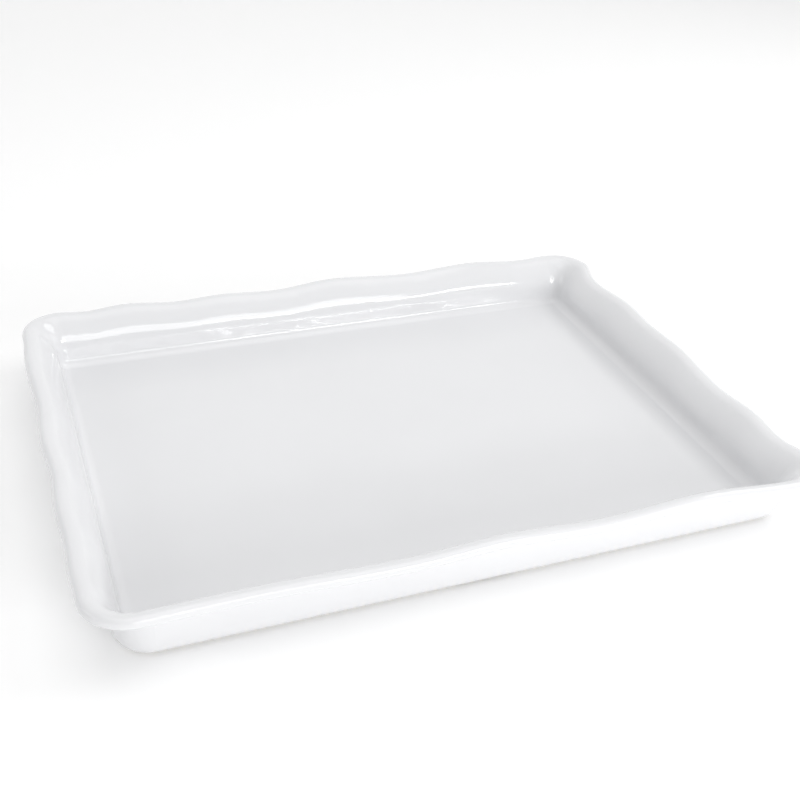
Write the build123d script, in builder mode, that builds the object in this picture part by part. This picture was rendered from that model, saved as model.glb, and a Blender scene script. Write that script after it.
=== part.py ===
from build123d import *
import os

# Rectangular china serving platter with a ruffled rim.
# The origin is on the table, under the middle of the platter. X runs along the length, Z is up.

# Overall sizes, over the finished glaze (mm)
platter_length = 400.0
platter_width = 302.0
rim_height = 35.5          # top of the rim, before its ruffle
rim_corner_radius = 23.5   # rim line seen from above
base_rounding = 6.5        # outside wall: its corners are this much rounder than the rim line moved in
end_widening = 1.15        # the rim and wall are wider by this ratio at the short ends

# Glaze and foot
glaze_thickness = 0.3
glaze_line = 1.8           # the glaze on the outside stops this far above the table
foot_trim = 0.6            # the round foot is ground flat by this much
recess_margin = 1.0        # from the end of the foot's rounding to the recess inside the foot ring
foot_recess = 1.5          # depth of the recess
recess_corner_radius = 5.0
notch_length = 31.0        # drain notch in the middle of each long side
notch_height = 1.3

# Wall section of the bare china: distances in from the rim line, and heights
lip_depth = 4.5            # outer face of the turned-down lip
lip_lean = 0.6             # the lip face leans in this much towards the top
lip_top_radius = 2.6
lip_edge_radius = 1.6
crest_width = 6.0          # nearly level top of the rim
crest_drop = 0.5
crest_radius = 6.5
overhang = 11.5            # rim line to the outside wall, under the lip
under_lip_height = 24.0
under_lip_radius = 5.0
wall_thickness = 4.5       # at the height where the lip ends and the flare begins
flare_height = 24.0        # where the steep wall turns out into the flare
flare_radius = 30.0
inside_draft = 1.5         # the inside leans in by this much from there down to the floor
well_height = 5.0          # floor over the table, with its glaze
well_radius = 6.0
outside_draft = 2.0        # the outside leans in by this much down to the table
foot_radius = 10.0
least_corner_radius = 1.5  # tightest corner of the floor seen from above

# Ruffle: stations along the straight part of a side, from -1 to 1, each with the lift of the rim
# there and how far it dips in from the rim line. The sides run counter-clockwise from the front.
ruffle_start = 8.0         # the wall is plain below this height
ruffle_full = 27.0         # and follows the rim fully above this one
front_ruffle = [(-0.85, 1.5, 1.5), (-0.6, 1.5, 1.5), (-0.2, 0.5, 1), (0, 2, 1.5), (0.33, 0, 0.5),
                (0.7, 2, 1.5)]
right_ruffle = [(-0.88, -2.5, 2), (-0.65, -1.5, 2), (-0.4, -3.5, 3), (0, -1, 2), (0.3, -2, 2.5),
                (0.48, -1, 2), (0.7, -3, 3), (0.93, -2, 2)]
back_ruffle = [(-0.88, -1, 1), (-0.65, 1, 0), (-0.36, -1, 1), (0, 1.2, 0), (0.16, -1.2, 1),
               (0.42, 0, 0.5), (0.57, -1, 1), (0.78, 1, 0), (0.92, -0.5, 0.5)]
left_ruffle = [(-0.76, 0.5, -1.5), (-0.5, 0, -0.5), (-0.28, -0.5, 0), (-0.07, 0, -1.5), (0.2, -0.8, 0.5),
               (0.42, 0, -1), (0.6, -0.5, 0), (0.83, 0, -0.5)]
corner_lifts = [2.5, -1, -0.5, 0.5]   # front left, front right, back right, back left

levels_per_rounding = 6

rim_half_length = platter_length / 2 - glaze_thickness
rim_half_width = platter_width / 2 - glaze_thickness
crest_height = rim_height - glaze_thickness
floor_height = well_height - glaze_thickness
flare_inset = overhang + wall_thickness
well_inset = flare_inset + inside_draft
foot_inset = overhang + outside_draft
recess_inset = (foot_inset + foot_radius) * end_widening + recess_margin
recess_length = 2 * (rim_half_length - recess_inset)
recess_width = 2 * (rim_half_width - recess_inset)

# Bare china wall from under the foot, up the outside, over the rim and down to the floor.
# X is the distance outwards from the rim line, Y is the height.
section_corners = [
    (-foot_inset - 2 * foot_radius, -foot_trim),
    (-foot_inset, -foot_trim),
    (-overhang, under_lip_height),
    (0, crest_height - lip_depth),
    (-lip_lean, crest_height),
    (-crest_width, crest_height - crest_drop),
    (-flare_inset, flare_height),
    (-well_inset, floor_height),
    (-well_inset - 2 * well_radius, floor_height),
]
section_radii = [foot_radius, under_lip_radius, lip_edge_radius, lip_top_radius,
                 crest_radius, flare_radius, well_radius]
with BuildLine() as wall_section:
    FilletPolyline(*section_corners, radius=section_radii)


def section_levels(coat):
    """Distance out and height of each level of the wall under a coat of this thickness."""
    levels = []
    wall_edges = wall_section.edges().sort_by(wall_section.wires()[0])[1:-1]
    for edge in wall_edges:
        steps = levels_per_rounding if edge.geom_type == GeomType.CIRCLE else 1
        for step in range(steps):
            levels.append((edge @ (step / steps), edge % (step / steps)))
    levels.append((wall_edges[-1] @ 1, wall_edges[-1] % 1))
    return [(place.X + coat * along.Y, place.Y - coat * along.X) for place, along in levels]


def ruffle_share(height):
    """How much of the ruffle the wall shows at a height: none near the floor, all of it at the rim."""
    rise = min(max((height - ruffle_start) / (ruffle_full - ruffle_start), 0), 1)
    return rise * rise * (3 - 2 * rise)


def corner_radius(out, outside):
    """Radius of the corners seen from above at one level, on the outside wall or on the inside one."""
    if outside:
        return rim_corner_radius + min(out + base_rounding, 0)
    return max(rim_corner_radius + out, least_corner_radius)


def rim_loop(out, height, outside):
    """Closed line round the platter at one level of the wall: four ruffled sides and four round corners."""
    radius = corner_radius(out, outside)
    share = ruffle_share(height)
    straight_x = rim_half_length + out * end_widening - radius
    straight_y = rim_half_width + out - radius
    sides = [(front_ruffle, 0, straight_x, straight_y), (right_ruffle, 90, straight_y, straight_x),
             (back_ruffle, 180, straight_x, straight_y), (left_ruffle, 270, straight_y, straight_x)]
    lifts = [share * lift for lift in corner_lifts]
    edges = []
    for (ruffle, turn, straight, away), start_lift, end_lift in zip(sides, lifts, lifts[1:] + lifts[:1]):
        along = Vector(1, 0, 0).rotate(Axis.Z, turn)
        outward = Vector(0, -1, 0).rotate(Axis.Z, turn)
        middle = outward * (away + radius) + Vector(0, 0, height)
        points = [middle + along * (place * straight) - outward * (share * dip) + Vector(0, 0, share * lift)
                  for place, lift, dip in ruffle]
        points.insert(0, middle - along * straight + Vector(0, 0, start_lift))
        points.append(middle + along * straight + Vector(0, 0, end_lift))
        places = [-1] + [place for place, _, _ in ruffle] + [1]
        edges.append(Edge.make_spline(points, tangents=[along * straight, along * straight],
                                      parameters=places, scale=False))
        centre = outward * away + along * straight + Vector(0, 0, height + end_lift)
        edges.append(Edge.make_three_point_arc(centre + outward * radius,
                                               centre + (outward + along).normalized() * radius,
                                               centre + along * radius))
    return Wire(edges)


def lofted_platter(coat):
    """Whole platter in one solid: the levels of the wall lofted from the foot, over the rim, to the floor."""
    levels = section_levels(coat)
    outermost = levels.index(max(levels))
    return Solid.make_loft([rim_loop(out, height, place < outermost)
                            for place, (out, height) in enumerate(levels)])


bare_platter = lofted_platter(0)
glazed_platter = lofted_platter(glaze_thickness)

with BuildPart() as china_body:
    add(bare_platter)
    split(bisect_by=Plane.XY, keep=Keep.TOP)
    with BuildSketch(Plane.XY):
        RectangleRounded(recess_length, recess_width, recess_corner_radius)
    extrude(amount=foot_recess, mode=Mode.SUBTRACT)
    with BuildSketch(Plane.XY):
        Rectangle(notch_length, platter_width)
    extrude(amount=notch_height, mode=Mode.SUBTRACT)
china_body.part.label = "china_body"

with BuildPart() as glaze_coat:
    add(glazed_platter)
    split(bisect_by=Plane.XY.offset(glaze_line), keep=Keep.TOP)
    add(bare_platter, mode=Mode.SUBTRACT)
glaze_coat.part.label = "glaze_coat"

with BuildPart() as underside_glaze:
    with BuildSketch(Plane.XY.offset(foot_recess)):
        RectangleRounded(recess_length, recess_width, recess_corner_radius)
    extrude(amount=-glaze_thickness)
underside_glaze.part.label = "underside_glaze"

os.makedirs("parts", exist_ok=True)
export_step(china_body.part, "parts/china_body.step")
export_step(glaze_coat.part, "parts/glaze_coat.step")
export_step(underside_glaze.part, "parts/underside_glaze.step")
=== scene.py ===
import math
import bpy
from mathutils import Matrix, Vector

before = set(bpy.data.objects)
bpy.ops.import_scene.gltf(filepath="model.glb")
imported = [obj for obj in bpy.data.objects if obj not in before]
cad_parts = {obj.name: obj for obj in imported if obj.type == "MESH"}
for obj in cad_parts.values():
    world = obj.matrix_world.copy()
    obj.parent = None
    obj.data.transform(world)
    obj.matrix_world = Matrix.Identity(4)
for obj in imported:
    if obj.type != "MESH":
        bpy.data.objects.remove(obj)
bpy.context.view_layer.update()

# Camera: its place round the platter and its roll in degrees, distance and aim in metres, lens in mm
AZIMUTH = -22.7
ELEVATION = 31.9
ROLL = 3.4
DISTANCE = 0.715
AIM = Vector((0.020, 0.041, 0.0))
LENS = 50.3
SENSOR = 36.0
CLIP_START = 0.01

# Finish of the china
GLAZE_COLOUR = (0.79, 0.793, 0.806, 1)
BARE_COLOUR = (0.72, 0.70, 0.665, 1)
GLAZE_ROUGHNESS = 0.09
GLAZE_IOR = 1.52
TOP_RIPPLE = 0.00003       # height of the slow ripples, in metres
UNDERSIDE_RIPPLE = 0.00006
SKIN_HEIGHT = 0.000004
GRAIN_HEIGHT = 0.00003

# Studio: grey levels, sizes in metres
FLOOR_SIZE = 12
FLOOR_WHITE = 0.93
FLOOR_GLOW = 0.11
FLOOR_ROUGHNESS = 0.9
BACKDROP_PLACE = (0, 1.6, 1.5)
BACKDROP_SCALE = (6, 3, 1)
BACKDROP_WHITE = 0.9
BACKDROP_GLOW = 0.3
WORLD_GLOW = 0.42

# Softboxes: azimuth and elevation in degrees, distance, width and height in metres, power in watts
SOFTBOXES = {
    "overhead": (0, 88, 1.5, 1.4, 1.4, 6.6),
    "front": (8, 18, 1.5, 0.9, 0.5, 5.6),
    "front_strip": (22, 14, 1.3, 0.6, 0.07, 3.2),
    "left": (-90, 24, 1.5, 0.9, 0.5, 2.3),
    "low_right": (90, 18, 1.5, 0.9, 0.5, 1.4),
    "high_right": (90, 45, 1.5, 0.9, 0.5, 4.1),
}


def outward(azimuth, elevation):
    """Unit vector out from the platter. Azimuth 0 is in front of it, 90 at its right end."""
    turn, rise = math.radians(azimuth), math.radians(elevation)
    return Vector((math.sin(turn) * math.cos(rise), -math.cos(turn) * math.cos(rise), math.sin(rise)))


def new_material(name):
    """An empty node material with its output and shader, joined."""
    material = bpy.data.materials.new(name)
    material.use_nodes = True
    nodes, links = material.node_tree.nodes, material.node_tree.links
    nodes.clear()
    output = nodes.new("ShaderNodeOutputMaterial")
    shader = nodes.new("ShaderNodeBsdfPrincipled")
    links.new(shader.outputs["BSDF"], output.inputs["Surface"])
    return material, nodes, links, shader


def noise(nodes, links, place, scale, detail=2.0, roughness=0.5):
    """Noise over the object's own coordinates, with its scale in waves per metre."""
    node = nodes.new("ShaderNodeTexNoise")
    node.inputs["Scale"].default_value = scale
    node.inputs["Detail"].default_value = detail
    node.inputs["Roughness"].default_value = roughness
    links.new(place.outputs["Object"], node.inputs["Vector"])
    return node


def remap(nodes, links, source, low, high, start=0.3, end=0.7):
    """Stretches the middle of a noise to the range low to high."""
    node = nodes.new("ShaderNodeMapRange")
    node.inputs["From Min"].default_value = start
    node.inputs["From Max"].default_value = end
    node.inputs["To Min"].default_value = low
    node.inputs["To Max"].default_value = high
    links.new(source.outputs["Fac"], node.inputs["Value"])
    return node


def tint(nodes, links, source, colour, darkest):
    """The colour made a little darker where the source is low."""
    node = nodes.new("ShaderNodeMix")
    node.data_type = "RGBA"
    node.inputs["A"].default_value = tuple(c * darkest for c in colour[:3]) + (1,)
    node.inputs["B"].default_value = colour
    links.new(source.outputs["Result"], node.inputs["Factor"])
    return node


def bump(nodes, links, heights, shader):
    """Chains height sources, each with its height in metres, into the shader's normal."""
    last = None
    for source, height in heights:
        node = nodes.new("ShaderNodeBump")
        node.inputs["Strength"].default_value = 1.0
        node.inputs["Distance"].default_value = height
        links.new(source.outputs["Fac"], node.inputs["Height"])
        if last:
            links.new(last.outputs["Normal"], node.inputs["Normal"])
        last = node
    links.new(last.outputs["Normal"], shader.inputs["Normal"])


def glaze_material(name, colour, ripple):
    """White glaze: even gloss with slow ripples, thin and thick patches and a fine skin."""
    material, nodes, links, shader = new_material(name)
    place = nodes.new("ShaderNodeTexCoord")
    patches = remap(nodes, links, noise(nodes, links, place, scale=14, detail=3), low=0, high=1)
    colours = tint(nodes, links, patches, colour, darkest=0.985)
    links.new(colours.outputs["Result"], shader.inputs["Base Color"])
    gloss = remap(nodes, links, noise(nodes, links, place, scale=45, detail=4),
                  low=GLAZE_ROUGHNESS * 0.75, high=GLAZE_ROUGHNESS * 1.3)
    links.new(gloss.outputs["Result"], shader.inputs["Roughness"])
    waves = noise(nodes, links, place, scale=28, detail=1)
    skin = noise(nodes, links, place, scale=420, detail=2)
    bump(nodes, links, [(waves, ripple), (skin, SKIN_HEIGHT)], shader)
    shader.inputs["IOR"].default_value = GLAZE_IOR
    return material


def bare_material(name):
    """Unglazed china on the foot ring: matt, a little warm, finely grained and slightly rubbed."""
    material, nodes, links, shader = new_material(name)
    place = nodes.new("ShaderNodeTexCoord")
    grain = noise(nodes, links, place, scale=900, detail=6, roughness=0.65)
    colours = tint(nodes, links, remap(nodes, links, grain, low=0, high=1), BARE_COLOUR, darkest=0.9)
    links.new(colours.outputs["Result"], shader.inputs["Base Color"])
    rubbed = remap(nodes, links, noise(nodes, links, place, scale=60, detail=3), low=0.5, high=0.8)
    links.new(rubbed.outputs["Result"], shader.inputs["Roughness"])
    bump(nodes, links, [(noise(nodes, links, place, scale=1400, detail=4), GRAIN_HEIGHT)], shader)
    return material


def dress(node, material):
    """Gives a CAD node its finish."""
    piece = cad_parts[node]
    piece.data.materials.clear()
    piece.data.materials.append(material)


dress("glaze_coat", glaze_material("white_glaze", GLAZE_COLOUR, TOP_RIPPLE))
dress("underside_glaze", glaze_material("underside_glaze", GLAZE_COLOUR, UNDERSIDE_RIPPLE))
dress("china_body", bare_material("bare_china"))


def stage_plane(name, size, place, turned, white, glow):
    """A pale, faintly glowing plane of the studio, with its shader. It isn't part of the object."""
    bpy.ops.mesh.primitive_plane_add(size=size, location=place, rotation=turned)
    plane = bpy.context.object
    plane.name = name
    material, _, _, shader = new_material(name)
    shader.inputs["Base Color"].default_value = (white, white, white, 1)
    shader.inputs["Emission Color"].default_value = (1, 1, 1, 1)
    shader.inputs["Emission Strength"].default_value = glow
    plane.data.materials.append(material)
    return plane, shader


def softbox(name, azimuth, elevation, distance, width, height, power):
    """An area light that looks at the platter."""
    data = bpy.data.lights.new(name, "AREA")
    data.shape = "RECTANGLE"
    data.size = width
    data.size_y = height
    data.energy = power
    light = bpy.data.objects.new(name, data)
    back = outward(azimuth, elevation)
    light.location = back * distance
    light.rotation_mode = "QUATERNION"
    light.rotation_quaternion = back.to_track_quat("Z", "Y")
    bpy.context.scene.collection.objects.link(light)


# Studio: floor, white backdrop that the glaze reflects, pale surroundings and softboxes
_, floor_shader = stage_plane("floor", FLOOR_SIZE, (0, 0, 0), (0, 0, 0), FLOOR_WHITE, FLOOR_GLOW)
floor_shader.inputs["Roughness"].default_value = FLOOR_ROUGHNESS
floor_shader.inputs["Specular IOR Level"].default_value = 0

upright = (math.radians(90), 0, 0)
backdrop, _ = stage_plane("backdrop", 1, BACKDROP_PLACE, upright, BACKDROP_WHITE, BACKDROP_GLOW)
backdrop.scale = BACKDROP_SCALE

world = bpy.data.worlds.new("studio")
world.use_nodes = True
world.node_tree.nodes["Background"].inputs["Color"].default_value = (1, 1, 1, 1)
world.node_tree.nodes["Background"].inputs["Strength"].default_value = WORLD_GLOW
bpy.context.scene.world = world

for name, setting in SOFTBOXES.items():
    softbox(name, *setting)

# Camera
back = outward(AZIMUTH, ELEVATION)
level_right = (-back).cross(Vector((0, 0, 1))).normalized()
level_up = level_right.cross(-back)
roll = math.radians(ROLL)
right = level_right * math.cos(roll) + level_up * math.sin(roll)
up = level_up * math.cos(roll) - level_right * math.sin(roll)
camera_data = bpy.data.cameras.new("camera")
camera_data.lens = LENS
camera_data.sensor_width = SENSOR
camera_data.clip_start = CLIP_START
camera = bpy.data.objects.new("camera", camera_data)
camera.matrix_world = Matrix((right, up, back)).transposed().to_4x4()
camera.location = AIM + back * DISTANCE
bpy.context.scene.collection.objects.link(camera)
bpy.context.scene.camera = camera

bpy.context.scene.view_settings.view_transform = "Standard"
